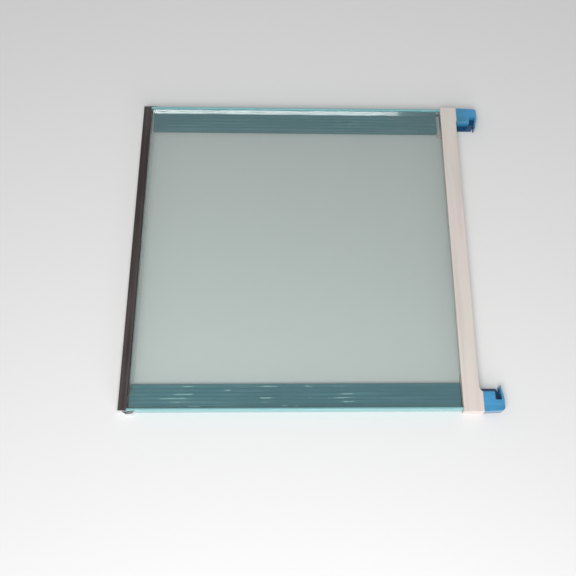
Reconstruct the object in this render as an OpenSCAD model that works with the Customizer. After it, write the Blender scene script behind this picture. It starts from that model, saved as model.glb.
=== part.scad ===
// Refrigerator shelf: a clear glass panel bonded onto two ribbed side rails,
// closed by a metal-faced front channel and by a white rear trim with two hooks.
// Millimetres. X runs from side to side, Y from the front edge to the hooks, Z up.
// The origin is the middle of the shelf's overall footprint, on the ledges it lies on.

/* [Shelf] */
// Width over the side rails at the front edge
shelf_width = 382; // [300:1:520]
// Depth from the front edge to the rear trim's rear face
shelf_depth = 386; // [280:1:480]
// How far each side rail leans in from the front edge to the rear face
rail_lean = 3.5; // [0:0.25:8]

/* [Glass panel] */
// Thickness of the glass
glass_thickness = 4; // [3:0.5:6]
// Radius of the glass corners in plan
glass_corner = 3; // [1:0.5:8]
// Gap between the edges of the glass and what stands around them
glass_gap = 0.5; // [0.2:0.1:1.5]
// Gap between the top of the glass and the lips that reach over it
lip_gap = 0.1; // [0:0.05:0.3]

/* [Side rails] */
// Width of a side rail
rail_width = 30; // [20:1:44]
// Thickness of a rail's outer wall
rail_wall = 2.4; // [1.6:0.2:4]
// Height of the rail's plate top above the ledge
seat_height = 5.4; // [4.6:0.2:9]
// Thickness of the rail's plate
plate_thickness = 1.8; // [1.2:0.2:2.6]
// Bevel along the inner edge of the plate's top
plate_bevel = 0.4; // [0.1:0.1:0.8]
// Height of the rail's outer lip above the glass
lip_rise = 2.3; // [1.9:0.1:4]
// Radius of the edges of that lip
lip_round = 0.7; // [0.2:0.1:0.7]
// Distance between the ribs under the plate
rib_pitch = 4.3; // [3:0.1:8]
// Thickness of a rib where it leaves the plate
rib_root = 1.5; // [1:0.1:2.2]
// Thickness of a rib at its foot
rib_foot = 0.9; // [0.6:0.1:1.5]
// Gap between the right plate's ends and the front and rear trims
right_end_gap = 0.8; // [0.4:0.1:4]
// Gap between the left plate's front end and the front channel
left_front_gap = 2.5; // [0.4:0.1:8]
// Gap between the left plate's rear end and the rear cap
left_rear_gap = 4.5; // [2:0.1:8]

/* [Bond films] */
// Thickness of the clear adhesive film between rail and glass
bond_thickness = 0.3; // [0.1:0.1:0.6]
// Bare margin between the film and the edges of the plate
bond_margin = 1.2; // [0.6:0.1:3]
// How far the film's squeezed edge wanders
bond_wander = 1.6; // [0:0.1:3]

/* [Front channel and strip] */
// Width of the metal strip over the front channel
strip_width = 11; // [9:0.5:18]
// Thickness of the strip's metal
strip_thickness = 0.8; // [0.4:0.1:1.2]
// Radius of the strip's rounded nose
nose_radius = 2.4; // [1.4:0.1:3.4]
// Radius of the strip's inner top edge
strip_round = 0.5; // [0.1:0.1:0.7]
// Height of the strip's lower edge above the ledge
strip_clearance = 0.8; // [0.2:0.1:2]
// Wall thickness of the clear channel under the strip
channel_wall = 2; // [1.4:0.1:2.8]
// Thickness of the flanges under the glass, front and rear
flange_thickness = 1.6; // [1.2:0.1:2.4]
// How far the clear lip reaches over the glass past the strip
seal_reach = 6; // [2:0.5:12]
// Thickness of the clear lip past the strip
seal_thickness = 0.9; // [0.6:0.1:1]
// Length of the curve at each end of the clear lip
seal_sweep = 19; // [6:1:40]
// Distance from the shelf's side to the end of the clear lip
seal_setback = 15; // [6:1:40]

/* [Front corners] */
// Thickness of the plate that closes the channel's end
corner_plate = 2; // [1.2:0.2:3]
// Length of the plug inside the channel
plug_length = 12; // [6:1:25]
// Gap around the plug
plug_gap = 0.2; // [0.1:0.05:0.4]
// Gap between the plug and the ledge
plug_lift = 0.6; // [0.2:0.1:1.4]
// Radius of the plug's upper edges
plug_round = 0.5; // [0.1:0.1:1]
// Length of the bumper beside the rail, behind the channel
bumper_length = 8.5; // [5:0.5:16]
// How far the bumper stands out from the shelf's side
bumper_stand = 3; // [1.5:0.5:5]
// Height of the bumper
bumper_height = 8.5; // [5:0.5:11]
// Length of the slope at the bumper's front end
bumper_slope = 4.5; // [3:0.5:7]
// How far the bumper's face starts in front of the channel's inner edge
bumper_lead = 1; // [0.5:0.25:1.5]
// Radius of the corners of the bumper's face
bumper_round = 1.4; // [0.4:0.1:1.4]
// Gap between the bumper and the side of the rail
bumper_gap = 0.1; // [0.05:0.05:0.4]

/* [Rear trim] */
// Width of the rear trim
trim_width = 18.5; // [14:0.5:28]
// Thickness of the trim's rear wall
trim_wall = 2.2; // [1.6:0.2:3]
// How far the leg under the glass stands back from the trim's inner edge
leg_setback = 2.5; // [1:0.5:5]
// Thickness of that leg
leg_thickness = 1.5; // [1:0.1:2.4]
// How far each end of the trim stops inside the shelf's front width
trim_short = 1; // [0:0.25:4]
// Distance between the cross ribs under the trim
trim_rib_pitch = 38; // [20:1:80]
// Thickness of a cross rib
trim_rib = 1.4; // [0.8:0.1:2.4]
// Gap between the cross ribs and the ledge
trim_rib_lift = 0.8; // [0.2:0.1:2]
// Least distance between the last cross rib and the cap's base
trim_rib_margin = 6; // [2:1:20]
// Radius of the trim's outer top edge
trim_round = 1.4; // [0.4:0.1:1.6]
// Radius of the trim's inner top edge
trim_edge = 0.7; // [0.1:0.1:1.2]

/* [Rear caps] */
// Length of the left cap along the trim
left_cap_length = 19.5; // [19:0.5:34]
// Length of the right cap along the trim
right_cap_length = 26; // [24:0.5:40]
// Thickness of a cap's end wall
cap_wall = 2; // [1.2:0.2:2.4]
// How far the left cap steps out behind the trim
left_cap_step = 1; // [0.5:0.25:3]
// How far the right cap steps out behind the trim
right_cap_step = 3.5; // [0.5:0.25:4.5]
// Length of the flare into that step, for each millimetre of the step
cap_flare = 1.25; // [0.5:0.25:1.75]
// Length of the cap's base inside the underside of the trim
base_length = 17; // [13:1:30]
// Gap around the base and around the foot
base_gap = 0.2; // [0.1:0.05:0.4]
// Radius of the upper edges of the base and the foot
base_round = 0.5; // [0.1:0.1:0.8]
// Width of the foot that fills the gap behind the left rail
foot_width = 11; // [6:0.5:12]
// Height of the foot's top above the ledge
foot_height = 4.8; // [3:0.1:5.2]

/* [Rear hooks] */
// Reach of the hooks behind the trim's rear face
hook_reach = 25.5; // [21:0.5:36]
// Width of a hook's body
hook_width = 21.5; // [18:0.5:30]
// How far a hook's outer side stands inside the trim's end
hook_inset = 0.25; // [0:0.25:1.25]
// How far the hook's outer side leans in towards the rear
hook_lean = 1; // [0:0.25:2.5]
// Height of the hooks
hook_height = 10.8; // [8:0.2:12]
// Wall thickness of the hooks
hook_wall = 1.8; // [1.2:0.1:2.2]
// Radius of the outer rear corner
hook_corner = 4; // [2.4:0.2:7]
// Width of the hook's notch, from front to rear
notch_width = 7; // [5:0.5:9]
// Depth of the notch, from side to side
notch_depth = 8.8; // [6:0.2:10]
// Radius of the notch's corners
notch_round = 1; // [0.2:0.1:1.4]
// How far the claw reaches past the body
claw_reach = 6.5; // [3:0.5:9]
// How far the claw bends forward to its tip
claw_bend = 2.6; // [1:0.2:4]
// Thickness of the claw at its root
claw_root = 2.5; // [2:0.1:4]
// Thickness of the claw at its tip
claw_tip = 1.6; // [1.2:0.1:2.5]
// Radius of the corners of the claw's tip
tip_round = 0.5; // [0.1:0.1:0.5]
// Thickness of the floor under the notch
floor_thickness = 1.4; // [1:0.1:2]
// How far the floor reaches past the body
floor_reach = 5.3; // [2:0.1:6]
// Size of the corner cut from the floor under the claw
floor_cut = 6; // [4:0.5:8]
// Distance from the hook's outer side to the tongue that holds it in its cap
tongue_inset = 4.25; // [3:0.25:4.25]
// Width of the tongue
tongue_width = 13; // [8:0.5:13]
// Length of the tongue inside the cap, from the trim's rear face
tongue_length = 8; // [5:0.5:11]
// Gap around the tongue
tongue_gap = 0.15; // [0.1:0.05:0.3]
// Height of the cap's wall below the tongue's slot
slot_sill = 1.2; // [0.8:0.1:1.6]

/* [Hidden] */

half_width = shelf_width / 2;
front_y = -(shelf_depth + hook_reach) / 2;
rear_y = front_y + shelf_depth;
lean_angle = atan(rail_lean / shelf_depth);

// Levels above the ledge
glass_bottom = seat_height + bond_thickness;
glass_top = glass_bottom + glass_thickness;
lip_bottom = glass_top + lip_gap;
shelf_top = glass_top + lip_rise;
plate_bottom = seat_height - plate_thickness;
flange_bottom = glass_bottom - flange_thickness;
channel_top = shelf_top - strip_thickness;

// Ends of what runs along the front and along the rear, from the middle
plug_end = half_width - corner_plate;
trim_half = half_width - trim_short;
left_cap_start = trim_half - left_cap_length;
right_cap_start = trim_half - right_cap_length;

// Ends of the rails, behind the front edge
rail_front = strip_width;
rail_rear = shelf_depth - trim_width;

// Faces of the trim's leg, in front of the rear face
leg_front = trim_width - leg_setback;
leg_back = leg_front - leg_thickness;

// How far a cutting shape runs past what it cuts
past = 10;

// Outlines
function unit(v) = v / norm(v);
function turned(v, angle) = [v.x * cos(angle) - v.y * sin(angle), v.x * sin(angle) + v.y * cos(angle)];
function arc_points(before, at, after, radius, steps) =
    let (u = unit(before - at))
    let (w = unit(after - at))
    let (half = acos(u * w) / 2)
    let (centre = at + unit(u + w) * radius / sin(half))
    let (start = at + u * radius / tan(half) - centre)
    let (finish = at + w * radius / tan(half) - centre)
    let (way = cross(start, finish) > 0 ? 1 : -1)
    [for (i = [0 : steps]) centre + turned(start, way * (180 - 2 * half) * i / steps)];
function flat(p) = [p.x, p.y];
// An outline whose corners are [x, y] where sharp and [x, y, radius] where round
function outline(corners, steps = 8) =
    let (last = len(corners) - 1)
    [for (i = [0 : last])
        let (at = corners[i])
        each (len(at) < 3 || at[2] <= 0) ? [flat(at)] :
            arc_points(flat(corners[i == 0 ? last : i - 1]), flat(at), flat(corners[i == last ? 0 : i + 1]),
                at[2], steps)];

// The shelf's side, as a distance from the middle, at a distance behind the front edge
function side_x(behind) = half_width - rail_lean * behind / shelf_depth;

// Draws a profile of [behind the front edge, up] along the shelf's width
module across_front(from_x, to_x) {
    translate([from_x, front_y, 0])
        rotate([90, 0, 90])
            linear_extrude(to_x - from_x)
                children();
}

// Draws a profile of [in front of the rear face, up] along the shelf's width
module across_rear(from_x, to_x) {
    translate([from_x, rear_y, 0])
        mirror([0, 1, 0])
            rotate([90, 0, 90])
                linear_extrude(to_x - from_x)
                    children();
}

// Draws a profile of [in from the left side, up] along the leaning left side
module along_side(from_y, to_y) {
    intersection() {
        translate([-half_width, front_y, 0])
            rotate([0, 0, -lean_angle])
                translate([0, shelf_depth + past, 0])
                    rotate([90, 0, 0])
                        linear_extrude(shelf_depth + 2 * past)
                            children();
        translate([-half_width - past, front_y + from_y, -past])
            cube([half_width + past, to_y - from_y, shelf_top + 2 * past]);
    }
}

// The glass lies on the rails' films and on the flanges, with its edges free all round
module glass_panel() {
    front = strip_thickness + channel_wall + glass_gap;
    rear = shelf_depth - trim_wall - glass_gap;
    inside = rail_wall + glass_gap;
    color("azure", 0.4)
        translate([0, front_y, glass_bottom])
            linear_extrude(glass_thickness)
                polygon(outline([
                    [-side_x(front) + inside, front, glass_corner],
                    [side_x(front) - inside, front, glass_corner],
                    [side_x(rear) - inside, rear, glass_corner],
                    [-side_x(rear) + inside, rear, glass_corner]]));
}

// The outline that the front channel shares with the plates that close its ends
function channel_corners() = [
    [strip_thickness, 0],
    [strip_thickness, channel_top, nose_radius - strip_thickness],
    [strip_width - strip_thickness, channel_top],
    [strip_width - strip_thickness, lip_bottom + seal_thickness],
    [strip_width, lip_bottom + seal_thickness]];

// Clear channel: a groove for the glass over a hollow foot
module channel_section() {
    inner = strip_thickness + channel_wall;
    leg = strip_width - channel_wall;
    polygon(outline(concat(channel_corners(), [
        [strip_width, lip_bottom],
        [inner, lip_bottom],
        [inner, glass_bottom],
        [strip_width, glass_bottom],
        [strip_width, 0],
        [leg, 0],
        [leg, flange_bottom],
        [inner, flange_bottom],
        [inner, 0]])));
}

// The clear lip over the glass, in plan, with an elliptical curve at each end
module seal_plan() {
    tip = half_width - seal_setback;
    straight = tip - seal_sweep;
    steps = 12;
    edge = strip_width + seal_reach;
    root = strip_width - channel_wall;
    right = [for (i = [0 : steps])
        [straight + seal_sweep * sin(90 * i / steps), strip_width + seal_reach * cos(90 * i / steps)]];
    left = [for (i = [steps : -1 : 0]) [-right[i].x, right[i].y]];
    polygon(concat([[0, edge]], right, [[tip, root], [-tip, root]], left));
}

module front_channel() {
    color("whitesmoke", 0.5)
        union() {
            across_front(-plug_end, plug_end)
                channel_section();
            translate([0, front_y, lip_bottom])
                linear_extrude(seal_thickness)
                    seal_plan();
        }
}

// Folded metal strip: a flat top, a rounded nose, a front face and a short fold at each edge
module strip_section() {
    metal = strip_thickness;
    fold = lip_bottom + seal_thickness;
    polygon(outline([
        [0, strip_clearance],
        [0, shelf_top, nose_radius],
        [strip_width, shelf_top, strip_round],
        [strip_width, fold],
        [strip_width - metal, fold],
        [strip_width - metal, channel_top],
        [metal, channel_top, nose_radius - metal],
        [metal, strip_clearance]]));
}

module front_strip() {
    color("gray")
        across_front(-half_width, half_width)
            strip_section();
}

// Corner piece: a plate over the channel's end, a plug inside its foot and a bumper beside the rail
module front_corner_part() {
    plug_front = strip_thickness + channel_wall + plug_gap;
    plug_back = strip_width - channel_wall - plug_gap;
    plug_top = flange_bottom - plug_gap;
    face = -half_width - bumper_stand;
    face_start = strip_width - bumper_lead;
    slope_start = face_start - bumper_slope;
    bumper_end = strip_width + bumper_length;
    union() {
        across_front(-half_width, -plug_end)
            polygon(outline(concat(channel_corners(), [[strip_width, 0]])));
        across_front(-plug_end - corner_plate / 2, -plug_end + plug_length)
            polygon(outline([
                [plug_front, plug_lift],
                [plug_front, plug_top, plug_round],
                [plug_back, plug_top, plug_round],
                [plug_back, plug_lift]]));
        translate([0, front_y, 0])
            linear_extrude(bumper_height)
                polygon(outline([
                    [-plug_end, slope_start],
                    [-half_width, slope_start],
                    [face, face_start, bumper_round],
                    [face, bumper_end - bumper_stand, bumper_round],
                    [-side_x(bumper_end) - bumper_gap, bumper_end],
                    [-side_x(strip_width) - bumper_gap, strip_width],
                    [-plug_end, strip_width]]));
    }
}

module front_corner_left() {
    color("gainsboro")
        front_corner_part();
}

module front_corner_right() {
    color("gainsboro")
        mirror([1, 0, 0])
            front_corner_part();
}

// Outer wall of a rail, with its lip above the glass
module rail_wall_section() {
    polygon(outline([
        [0, 0],
        [0, shelf_top, lip_round],
        [rail_wall, shelf_top, lip_round],
        [rail_wall, 0]]));
}

// Plate of a rail, with tapered ribs that stand on the ledge. The first is flush with the inner edge,
// and the last stays a rib's width clear of the wall
module rail_plate_section() {
    first = rail_width - rib_root / 2;
    last = floor((first - rail_wall - rib_root) / rib_pitch);
    ribs = [for (i = [last : -1 : 0])
        let (middle = first - i * rib_pitch)
        each [
            [middle - rib_root / 2, plate_bottom],
            [middle - rib_foot / 2, 0],
            [middle + rib_foot / 2, 0],
            [middle + rib_root / 2, plate_bottom]]];
    polygon(concat(
        [[rail_wall / 2, plate_bottom]],
        ribs,
        [[rail_width, seat_height - plate_bevel],
            [rail_width - plate_bevel, seat_height],
            [rail_wall / 2, seat_height]]));
}

module side_rail_part(front_gap, rear_gap) {
    union() {
        along_side(rail_front, rail_rear)
            rail_wall_section();
        along_side(rail_front + front_gap, rail_rear - rear_gap)
            rail_plate_section();
    }
}

module side_rail_left() {
    color("cadetblue", 0.9)
        side_rail_part(left_front_gap, left_rear_gap);
}

module side_rail_right() {
    color("cadetblue", 0.9)
        mirror([1, 0, 0])
            side_rail_part(right_end_gap, right_end_gap);
}

// Clear adhesive film between plate and glass, squeezed out to an edge that wanders in two waves
module bond_film_part(front_gap, rear_gap) {
    start = rail_front + front_gap + bond_margin;
    length = rail_rear - rear_gap - bond_margin - start;
    steps = 48;
    inner = rail_width - bond_margin - bond_wander;
    outer = rail_wall + glass_gap + bond_margin + bond_wander;
    function wander(i, turns, shift) = bond_wander / 2
        * (sin(360 * turns * i / steps + shift) + sin(360 * (2 * turns + 1) * i / steps + 2 * shift));
    translate([-half_width, front_y, seat_height])
        rotate([0, 0, -lean_angle])
            translate([0, start, 0])
                linear_extrude(bond_thickness)
                    polygon(concat(
                        [for (i = [0 : steps]) [outer + wander(i, 3, 40), length * i / steps]],
                        [for (i = [steps : -1 : 0]) [inner + wander(i, 4, 110), length * i / steps]]));
}

module bond_film_left() {
    color("white", 0.3)
        bond_film_part(left_front_gap, left_rear_gap);
}

module bond_film_right() {
    color("white", 0.3)
        mirror([1, 0, 0])
            bond_film_part(right_end_gap, right_end_gap);
}

// White trim over the rear edge of the glass: a groove over an open underside
module trim_section(front_face, back_face) {
    polygon(outline([
        [0, 0],
        [0, shelf_top, trim_round],
        [trim_width, shelf_top, trim_edge],
        [trim_width, lip_bottom],
        [trim_wall, lip_bottom],
        [trim_wall, glass_bottom],
        [front_face, glass_bottom],
        [front_face, 0],
        [back_face, 0],
        [back_face, flange_bottom],
        [trim_wall, flange_bottom],
        [trim_wall, 0]]));
}

// Room for a cap's base in the trim's leg
module base_room(cap_start) {
    translate([cap_start - base_length - base_gap, rear_y - trim_width, -past])
        cube([base_length + base_gap + past, trim_width - leg_back + base_gap, past + flange_bottom]);
}

module rear_trim() {
    rib_top = flange_bottom + flange_thickness / 2;
    rib_front = leg_back + leg_thickness / 2;
    rib_zone = min(left_cap_start, right_cap_start) - base_length - trim_rib_margin;
    ribs = floor(rib_zone / trim_rib_pitch);
    color("linen")
        union() {
            difference() {
                across_rear(-left_cap_start, right_cap_start)
                    trim_section(leg_front, leg_back);
                base_room(right_cap_start);
                mirror([1, 0, 0])
                    base_room(left_cap_start);
            }
            for (i = [-ribs : ribs])
                across_rear(i * trim_rib_pitch - trim_rib / 2, i * trim_rib_pitch + trim_rib / 2)
                    polygon([
                        [trim_wall / 2, rib_top],
                        [trim_wall / 2, trim_rib_lift],
                        [rib_front, trim_rib_lift],
                        [rib_front, rib_top]]);
        }
}

// The cap's step behind the trim: a rounded bar, cut in plan to a flare that runs out on the trim's face
module cap_step(cap_start, step) {
    flare = cap_flare * step;
    curve = [for (i = [0 : 8])
        [-cap_start - flare * cos(11.25 * i), step * (1 - sin(11.25 * i))]];
    intersection() {
        across_rear(-trim_half, -cap_start)
            polygon(outline([
                [-step, 0],
                [-step, shelf_top, trim_round],
                [trim_wall, shelf_top],
                [trim_wall, 0]]));
        translate([0, rear_y, -past])
            linear_extrude(shelf_top + 2 * past)
                polygon(concat([[-trim_half - past, -trim_width], [-trim_half - past, step]], curve,
                    [[-cap_start, -trim_width]]));
    }
}

// End cap of the trim: the trim's section with a flush inner leg, an end wall, a rear step with the
// hook's slot, and a base that slides into the trim's underside
module rear_cap_part(cap_start, step, has_foot) {
    base_start = cap_start - base_length;
    base_top = flange_bottom - base_gap;
    foot_end = trim_width + left_rear_gap - base_gap;
    slot_start = -trim_half + hook_inset + tongue_inset - tongue_gap;
    union() {
        difference() {
            union() {
                across_rear(-trim_half, -cap_start)
                    trim_section(trim_width, trim_width - cap_wall);
                across_rear(-trim_half, -trim_half + cap_wall)
                    polygon(outline([
                        [-step, 0],
                        [-step, shelf_top, trim_round],
                        [trim_width, shelf_top, trim_edge],
                        [trim_width, 0]]));
                cap_step(cap_start, step);
            }
            translate([slot_start, rear_y - trim_wall - past / 2, slot_sill])
                cube([tongue_width + 2 * tongue_gap, trim_wall + step + past, flange_bottom - slot_sill]);
        }
        across_rear(-cap_start - cap_wall / 2, -base_start)
            polygon(outline([
                [trim_wall + base_gap, 0],
                [trim_wall + base_gap, base_top, base_round],
                [trim_width, base_top, base_round],
                [trim_width, 0]]));
        if (has_foot)
            across_rear(-base_start - foot_width, -base_start)
                polygon(outline([
                    [trim_width - cap_wall, 0],
                    [trim_width - cap_wall, base_top],
                    [trim_width, base_top],
                    [trim_width, foot_height],
                    [foot_end, foot_height, base_round],
                    [foot_end, 0]]));
    }
}

module rear_cap_left() {
    color("linen")
        rear_cap_part(left_cap_start, left_cap_step, true);
}

module rear_cap_right() {
    color("linen")
        mirror([1, 0, 0])
            rear_cap_part(right_cap_start, right_cap_step, false);
}

// Hook in plan: [in from its outer side, behind the cap's rear face]. A hollow block with a notch that
// opens inwards, closed behind by a claw that swings forward in an S to its tip, over a thin floor
module rear_hook_part(step) {
    reach = hook_reach - step;
    notch_side = hook_width - notch_depth;
    arm = reach - claw_root - notch_width;
    claw_length = notch_depth + claw_reach;
    steps = 12;
    function rim(t) = reach - claw_bend * (1 - cos(180 * t)) / 2;
    function thick(t) = claw_root + (claw_tip - claw_root) * t;
    function claw(t, share) = [notch_side + claw_length * t, rim(t) - thick(t) * share];
    inner = [for (i = [1 : steps - 1]) claw(i / steps, 1)];
    outer = [for (i = [steps - 1 : -1 : 0]) claw(i / steps, 0)];
    floor_side = hook_width + floor_reach;
    floor_back = [for (i = [4 : -1 : 0]) claw(i / steps, 0.5)];
    floor_start = notch_side - hook_wall / 2;
    middle = [-trim_half + hook_inset, rear_y + step];
    tongue_bottom = slot_sill + tongue_gap;
    hollow_corner = hook_corner - hook_wall;
    difference() {
        union() {
            translate([middle.x, middle.y, 0])
                linear_extrude(hook_height)
                    polygon(outline(concat([
                        [0, 0],
                        [hook_width, 0],
                        [hook_width, arm, notch_round],
                        [notch_side, arm, notch_round],
                        concat(claw(0, 1), notch_round)],
                        inner,
                        [concat(claw(1, 1), tip_round), concat(claw(1, 0), tip_round)],
                        outer,
                        [[hook_lean, reach, hook_corner]])));
            translate([middle.x, middle.y, 0])
                linear_extrude(floor_thickness)
                    polygon(concat([
                        [floor_start, 0],
                        [floor_side, 0],
                        [floor_side, reach - floor_cut]],
                        floor_back,
                        [[floor_start, reach - claw_root / 2]]));
            translate([middle.x + tongue_inset, rear_y - tongue_length, tongue_bottom])
                cube([tongue_width, tongue_length + step + hook_wall / 2,
                    flange_bottom - tongue_gap - tongue_bottom]);
        }
        translate([middle.x, middle.y, -past])
            linear_extrude(past + hook_height - hook_wall)
                polygon(outline([
                    [hook_wall, hook_wall],
                    [hook_width - hook_wall, hook_wall],
                    [hook_width - hook_wall, arm - hook_wall],
                    [notch_side - hook_wall, arm - hook_wall],
                    [notch_side - hook_wall, reach - hook_wall],
                    [hook_lean + hook_wall, reach - hook_wall, hollow_corner]]));
    }
}

module rear_hook_left() {
    color("steelblue")
        rear_hook_part(left_cap_step);
}

module rear_hook_right() {
    color("steelblue")
        mirror([1, 0, 0])
            rear_hook_part(right_cap_step);
}

glass_panel();
front_channel();
front_strip();
front_corner_left();
front_corner_right();
side_rail_left();
side_rail_right();
bond_film_left();
bond_film_right();
rear_trim();
rear_cap_left();
rear_cap_right();
rear_hook_left();
rear_hook_right();
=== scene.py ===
import math

import bpy
from mathutils import Matrix, Vector

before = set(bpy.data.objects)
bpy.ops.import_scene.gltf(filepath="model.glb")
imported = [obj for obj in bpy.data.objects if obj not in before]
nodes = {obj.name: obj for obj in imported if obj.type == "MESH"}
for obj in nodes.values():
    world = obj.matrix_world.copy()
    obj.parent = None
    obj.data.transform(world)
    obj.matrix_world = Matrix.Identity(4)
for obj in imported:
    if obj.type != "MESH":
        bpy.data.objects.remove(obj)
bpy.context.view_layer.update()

# Side rails
# Two rails moulded in clear aqua plastic, each a flat plate with tapered ribs beneath and a wall with a lip.
# They lean in towards the rear, and the ribs shade through the plate as long lines beside the wall.

RAIL_HALF = 0.191
RAIL_LEAN = 0.0035
RAIL_WIDTH = 0.030
SHELF_DEPTH = 0.386
FRONT_EDGE = -0.20575
FIRST_RIB = 0.02925
RIB_PITCH = 0.0043
PLATE_TOP = 0.0054


def empty_material(name):
    """A node material with nothing in it but its output."""
    material = bpy.data.materials.new(name)
    material.use_nodes = True
    material.node_tree.nodes.clear()
    return material


def put(material, kind, inputs=None, **settings):
    """Adds a node. An input given as a socket is linked, and any other is set."""
    made = material.node_tree.nodes.new(kind)
    for key, value in settings.items():
        setattr(made, key, value)
    for key, value in (inputs or {}).items():
        socket = made.inputs[key]
        if isinstance(value, bpy.types.NodeSocket):
            material.node_tree.links.new(value, socket)
        else:
            socket.default_value = value
    return made


def sum_up(material, operation, first, second=0.0, third=0.0, clamp=False):
    """One step of arithmetic on sockets or numbers."""
    made = put(material, "ShaderNodeMath", {0: first, 1: second, 2: third}, operation=operation, use_clamp=clamp)
    return made.outputs[0]


def ramp(material, value, low, high, to_low=0.0, to_high=1.0):
    """A smooth step from to_low to to_high while value goes from low to high."""
    made = put(material, "ShaderNodeMapRange", {"Value": value, "From Min": low, "From Max": high,
               "To Min": to_low, "To Max": to_high}, interpolation_type="SMOOTHSTEP")
    return made.outputs["Result"]


def blend_colours(material, factor, first, second):
    """Two colours mixed by a factor."""
    made = put(material, "ShaderNodeMix", {"Factor": factor}, data_type="RGBA")
    for place, colour in ((6, first), (7, second)):
        if isinstance(colour, bpy.types.NodeSocket):
            material.node_tree.links.new(colour, made.inputs[place])
        else:
            made.inputs[place].default_value = (*colour, 1.0)
    return made.outputs[2]


def object_place(material):
    """The object's own coordinates, whole and one by one."""
    coordinates = put(material, "ShaderNodeTexCoord").outputs["Object"]
    parts = put(material, "ShaderNodeSeparateXYZ", {"Vector": coordinates})
    return coordinates, parts.outputs["X"], parts.outputs["Y"], parts.outputs["Z"]


def rail_distance(material, x, y):
    """How far in a point lies from the leaning outer side of its rail."""
    behind = sum_up(material, "MULTIPLY", sum_up(material, "SUBTRACT", y, FRONT_EDGE), RAIL_LEAN / SHELF_DEPTH)
    outer = sum_up(material, "SUBTRACT", RAIL_HALF, behind)
    return sum_up(material, "SUBTRACT", outer, sum_up(material, "ABSOLUTE", x))


def noise(material, coordinates, scale, detail=2.0, stretch=(1.0, 1.0, 1.0)):
    """Noise, with its pattern stretched by a scale along each way."""
    mapping = put(material, "ShaderNodeMapping", {"Vector": coordinates, "Scale": stretch})
    made = put(material, "ShaderNodeTexNoise", {"Vector": mapping.outputs["Vector"], "Scale": scale,
               "Detail": detail})
    return made.outputs["Fac"]


def close_material(material, shader):
    """Links a shader to the material's output."""
    put(material, "ShaderNodeOutputMaterial", {"Surface": shader})


def dress(material, *names):
    """Gives CAD nodes their material."""
    for name in names:
        mesh = nodes[name].data
        mesh.materials.clear()
        mesh.materials.append(material)


aqua = empty_material("clear aqua plastic")
place, x, y, z = object_place(aqua)
distance_in = rail_distance(aqua, x, y)
phase = sum_up(aqua, "MULTIPLY", sum_up(aqua, "SUBTRACT", distance_in, FIRST_RIB), 2 * math.pi / RIB_PITCH)
rib_line = ramp(aqua, sum_up(aqua, "COSINE", phase), 0.35, 0.95)
drift = noise(aqua, place, 14.0, 3.0, (1.0, 0.35, 1.0))
# Light streaks along the ribs, mixed into the plate colour below, are painted glints on the ribs.
rib_glint_streaks = noise(aqua, place, 60.0, 4.0, (9.0, 0.25, 1.0))
plate_colour = blend_colours(aqua, ramp(aqua, drift, 0.35, 0.65), (0.058, 0.205, 0.252), (0.086, 0.255, 0.300))
plate_colour = blend_colours(aqua, ramp(aqua, rib_glint_streaks, 0.50, 0.72, 0.0, 0.45), plate_colour, (0.16, 0.36, 0.40))
plate_colour = blend_colours(aqua, sum_up(aqua, "MULTIPLY", rib_line, 0.55), plate_colour, (0.040, 0.150, 0.190))
# The wall and its lip are painted a lighter aqua, a painted highlight where light falls on them.
lit_wall_zone = ramp(aqua, distance_in, 0.0020, 0.0030, 1.0, 0.0)
rail_colour = blend_colours(aqua, sum_up(aqua, "MULTIPLY", lit_wall_zone, 0.75), plate_colour, (0.20, 0.45, 0.46))
aqua_skin = put(aqua, "ShaderNodeBsdfPrincipled", {"Base Color": rail_colour, "Roughness": 0.16,
                "IOR": 1.5, "Coat Weight": 0.4, "Coat Roughness": 0.06, "Subsurface Weight": 0.25,
                "Subsurface Radius": (0.2, 0.6, 0.7), "Subsurface Scale": 0.004})
close_material(aqua, aqua_skin.outputs["BSDF"])
dress(aqua, "side_rail_left", "side_rail_right")

# Bond films
# A thin bed of clear adhesive between each rail's plate and the glass, squeezed out to a wandering edge.
# It shows light dashes between the ribs, painted glints where the ribs catch the light.

film = empty_material("clear adhesive")
place, x, y, z = object_place(film)
distance_in = rail_distance(film, x, y)
phase = sum_up(film, "MULTIPLY", sum_up(film, "SUBTRACT", distance_in, FIRST_RIB), 2 * math.pi / RIB_PITCH)
between_ribs = ramp(film, sum_up(film, "COSINE", phase), -0.95, -0.35, 1.0, 0.0)
dashes = ramp(film, noise(film, place, 55.0, 3.0, (3.0, 0.55, 1.0)), 0.56, 0.62)
patches = ramp(film, noise(film, place, 9.0, 1.0, (1.0, 1.0, 1.0)), 0.50, 0.60)
# The light dashes mixed in here are painted glints, not a feature of the adhesive.
light = sum_up(film, "MULTIPLY", sum_up(film, "MULTIPLY", dashes, between_ribs), patches)
clear_part = put(film, "ShaderNodeBsdfTransparent", {"Color": (0.97, 1.0, 1.0, 1.0)})
painted_glint_part = put(film, "ShaderNodeBsdfPrincipled", {"Base Color": (0.42, 0.72, 0.74, 1.0), "Roughness": 0.25})
film_mix = put(film, "ShaderNodeMixShader", {"Fac": sum_up(film, "MULTIPLY", light, 0.8),
               1: clear_part.outputs["BSDF"], 2: painted_glint_part.outputs["BSDF"]})
close_material(film, film_mix.outputs["Shader"])
dress(film, "bond_film_left", "bond_film_right")

# Glass panel
# One pane of clear tempered glass, four millimetres thick, with ground and polished edges.
# It lies on the rails' films and slides into the front channel and the rear trim.


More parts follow.
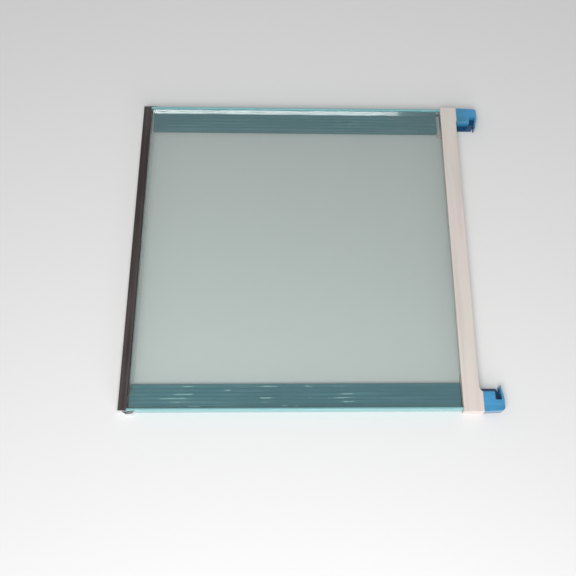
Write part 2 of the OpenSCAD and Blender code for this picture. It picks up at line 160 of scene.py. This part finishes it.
def clear_shell(material, tint, edge_colour, edge_share, rough):
    """See-through plastic or glass: faces let light through and mirror a little, and edges show their colour."""
    normal = put(material, "ShaderNodeSeparateXYZ",
                 {"Vector": put(material, "ShaderNodeNewGeometry").outputs["True Normal"]})
    upright = sum_up(material, "ABSOLUTE", normal.outputs["Z"])
    edge = ramp(material, upright, 0.2, 0.8, edge_share, 0.0)
    through = put(material, "ShaderNodeBsdfTransparent", {"Color": (*tint, 1.0)})
    body = put(material, "ShaderNodeBsdfPrincipled", {"Base Color": (*edge_colour, 1.0), "Roughness": 0.3})
    inner = put(material, "ShaderNodeMixShader", {"Fac": edge, 1: through.outputs["BSDF"], 2: body.outputs["BSDF"]})
    mirror = put(material, "ShaderNodeBsdfAnisotropic", {"Color": (1.0, 1.0, 1.0, 1.0), "Roughness": rough})
    sheen = put(material, "ShaderNodeFresnel", {"IOR": 1.45}).outputs["Fac"]
    return put(material, "ShaderNodeMixShader", {"Fac": sheen, 1: inner.outputs["Shader"],
               2: mirror.outputs["BSDF"]}).outputs["Shader"]


glass = empty_material("clear glass")
place, x, y, z = object_place(glass)
smear = ramp(glass, noise(glass, place, 6.0, 4.0), 0.45, 0.8, 0.015, 0.07)
close_material(glass, clear_shell(glass, (0.955, 0.985, 0.975), (0.22, 0.50, 0.44), 0.7, smear))
dress(glass, "glass_panel")

# Front channel and its corner pieces
# A channel extruded in clear plastic grips the front of the glass, and its lip lies over it.
# Moulded corner pieces close its ends and stand out a little beside the rails.

clear_plastic = empty_material("clear channel plastic")
place, x, y, z = object_place(clear_plastic)
drawn = ramp(clear_plastic, noise(clear_plastic, place, 40.0, 2.0, (0.1, 4.0, 4.0)), 0.3, 0.8, 0.05, 0.16)
close_material(clear_plastic, clear_shell(clear_plastic, (0.95, 0.965, 0.965), (0.80, 0.84, 0.84), 0.65, drawn))
dress(clear_plastic, "front_channel", "front_corner_left", "front_corner_right")

# Front strip
# A narrow strip of satin metal, folded round the channel's nose and gripped by short folds at its edges.
# Its top is brushed lengthwise and painted dark, a painted dark reflection, and the rounded nose is painted bright,
# a painted highlight.

NOSE_END = 0.0016

satin = empty_material("satin strip metal")
place, x, y, z = object_place(satin)
brushed = noise(satin, place, 220.0, 3.0, (0.03, 1.0, 1.0))
cloudy = noise(satin, place, 22.0, 3.0, (1.0, 2.0, 1.0))
# The top's dark colour is a painted dark reflection of the room; the brushed grain in it is real.
painted_dark_metal = blend_colours(satin, ramp(satin, brushed, 0.3, 0.7), (0.066, 0.055, 0.055), (0.105, 0.088, 0.088))
painted_dark_metal = blend_colours(satin, ramp(satin, cloudy, 0.4, 0.75, 0.0, 0.4), painted_dark_metal, (0.13, 0.112, 0.11))
# The bright nose is a painted highlight where the bend catches the light.
nose_highlight = ramp(satin, y, FRONT_EDGE + NOSE_END, FRONT_EDGE + NOSE_END + 0.0006, 1.0, 0.0)
metal_colour = blend_colours(satin, nose_highlight, painted_dark_metal, (0.88, 0.87, 0.86))
metal_rough = ramp(satin, brushed, 0.3, 0.7, 0.30, 0.42)
metal_skin = put(satin, "ShaderNodeBsdfPrincipled", {"Base Color": metal_colour, "Metallic": 1.0,
                 "Roughness": metal_rough})
close_material(satin, metal_skin.outputs["BSDF"])
dress(satin, "front_strip")

# Rear trim and its caps
# A trim moulded in warm white plastic covers the rear edge of the glass, with a cap pushed on at each end.
# Its top shows faint drawn lines along its length and a slight mottling.

white = empty_material("warm white plastic")
place, x, y, z = object_place(white)
drawn_lines = noise(white, place, 160.0, 3.0, (0.05, 1.0, 1.0))
mottle = noise(white, place, 26.0, 3.0)
white_colour = blend_colours(white, ramp(white, mottle, 0.35, 0.7), (0.655, 0.580, 0.545), (0.620, 0.595, 0.545))
white_colour = blend_colours(white, ramp(white, drawn_lines, 0.45, 0.75, 0.0, 0.4), white_colour,
                             (0.50, 0.42, 0.395))
white_skin = put(white, "ShaderNodeBsdfPrincipled", {"Base Color": white_colour, "Roughness": 0.38,
                 "Subsurface Weight": 0.1, "Subsurface Radius": (1.0, 0.8, 0.7), "Subsurface Scale": 0.002})
close_material(white, white_skin.outputs["BSDF"])
dress(white, "rear_trim", "rear_cap_left", "rear_cap_right")

# Rear hooks
# A hollow hook moulded in clear blue plastic is held in each cap by a tongue.
# Its notch is closed behind by a curved claw, over a thin floor, and its colour is darkened towards the bottom as a
# painted shade.

blue = empty_material("clear blue plastic")
place, x, y, z = object_place(blue)
flow = noise(blue, place, 45.0, 3.0, (1.0, 0.5, 1.0))
streaks = noise(blue, place, 300.0, 2.0, (1.0, 0.12, 0.4))
blue_colour = blend_colours(blue, ramp(blue, flow, 0.35, 0.7), (0.020, 0.190, 0.330), (0.040, 0.270, 0.520))
blue_colour = blend_colours(blue, ramp(blue, streaks, 0.55, 0.8, 0.0, 0.5), blue_colour, (0.11, 0.42, 0.62))
# Darker navy towards the floor: painted shade on the notch's floor and the low walls.
painted_low_shade = ramp(blue, z, 0.0020, 0.0075, 1.0, 0.0)
blue_colour = blend_colours(blue, sum_up(blue, "MULTIPLY", painted_low_shade, 0.8), blue_colour, (0.006, 0.030, 0.110))
blue_skin = put(blue, "ShaderNodeBsdfPrincipled", {"Base Color": blue_colour, "Roughness": 0.14,
                "IOR": 1.5, "Coat Weight": 0.5, "Coat Roughness": 0.05, "Subsurface Weight": 0.2,
                "Subsurface Radius": (0.1, 0.5, 1.0), "Subsurface Scale": 0.003})
close_material(blue, blue_skin.outputs["BSDF"])
dress(blue, "rear_hook_left", "rear_hook_right")

# Floor
# A plain pale table that the shelf lies on.

bpy.ops.object.select_all(action="DESELECT")
bpy.ops.mesh.primitive_plane_add(size=12.0, location=(0.0, 0.0, 0.0))
floor = bpy.context.object
floor.name = "floor"
pale = empty_material("pale floor")
floor_skin = put(pale, "ShaderNodeBsdfPrincipled", {"Base Color": (0.72, 0.72, 0.72, 1.0), "Roughness": 0.9})
close_material(pale, floor_skin.outputs["BSDF"])
floor.data.materials.append(pale)

# Studio light
# A pale room, a broad soft lamp over the right side of the shelf, and a low one beside it.

world = bpy.data.worlds.new("studio")
bpy.context.scene.world = world
world.use_nodes = True
world.node_tree.nodes.clear()
rays = put(world, "ShaderNodeLightPath")
seen = sum_up(world, "MAXIMUM", rays.outputs["Is Camera Ray"], rays.outputs["Is Glossy Ray"])
seen = sum_up(world, "MAXIMUM", seen, rays.outputs["Is Transmission Ray"])
room = put(world, "ShaderNodeBackground", {"Color": (1.0, 1.0, 1.0, 1.0), "Strength": 0.5})
backdrop = put(world, "ShaderNodeBackground", {"Color": (0.86, 0.86, 0.86, 1.0), "Strength": 0.8})
both = put(world, "ShaderNodeMixShader", {"Fac": seen, 1: room.outputs["Background"],
           2: backdrop.outputs["Background"]})
put(world, "ShaderNodeOutputWorld", {"Surface": both.outputs["Shader"]})


def soft_lamp(name, place, target, size, watts):
    """A square soft lamp that faces a point."""
    lamp = bpy.data.lights.new(name, "AREA")
    lamp.size = size
    lamp.energy = watts
    carrier = bpy.data.objects.new(name, lamp)
    carrier.location = place
    carrier.rotation_euler = (Vector(target) - Vector(place)).to_track_quat("-Z", "Y").to_euler()
    bpy.context.scene.collection.objects.link(carrier)
    return carrier


soft_lamp("key lamp", (0.9, -0.2, 1.1), (0.05, 0.0, 0.0), 0.9, 14.0)
soft_lamp("side lamp", (1.1, 0.3, 0.25), (0.0, 0.0, 0.0), 0.6, 5.0)

# Camera
# It stands above the shelf's right side, as in the photograph, and looks down across it.

CAMERA_PLACE = (0.378952, -0.019333, 0.822315)
CAMERA_TURN = 0.918
CAMERA_DIP = 67.964
CAMERA_ROLL = -0.629
FOCAL_PIXELS = 780.0
PHOTO_PIXELS = 576.0

dip = math.radians(CAMERA_DIP)
look = Vector((-math.cos(dip), 0.0, -math.sin(dip)))
right = Vector((0.0, 1.0, 0.0))
axes = Matrix((right, right.cross(look), -look)).transposed()
turn = Matrix.Rotation(math.radians(CAMERA_TURN), 3, "Z")
roll = Matrix.Rotation(math.radians(CAMERA_ROLL), 3, "Z")
camera_data = bpy.data.cameras.new("camera")
camera_data.sensor_width = 36.0
camera_data.lens = FOCAL_PIXELS / PHOTO_PIXELS * camera_data.sensor_width
camera = bpy.data.objects.new("camera", camera_data)
camera.matrix_world = Matrix.Translation(CAMERA_PLACE) @ (turn @ axes @ roll).to_4x4()
bpy.context.scene.collection.objects.link(camera)
bpy.context.scene.camera = camera
bpy.context.scene.view_settings.view_transform = "Standard"
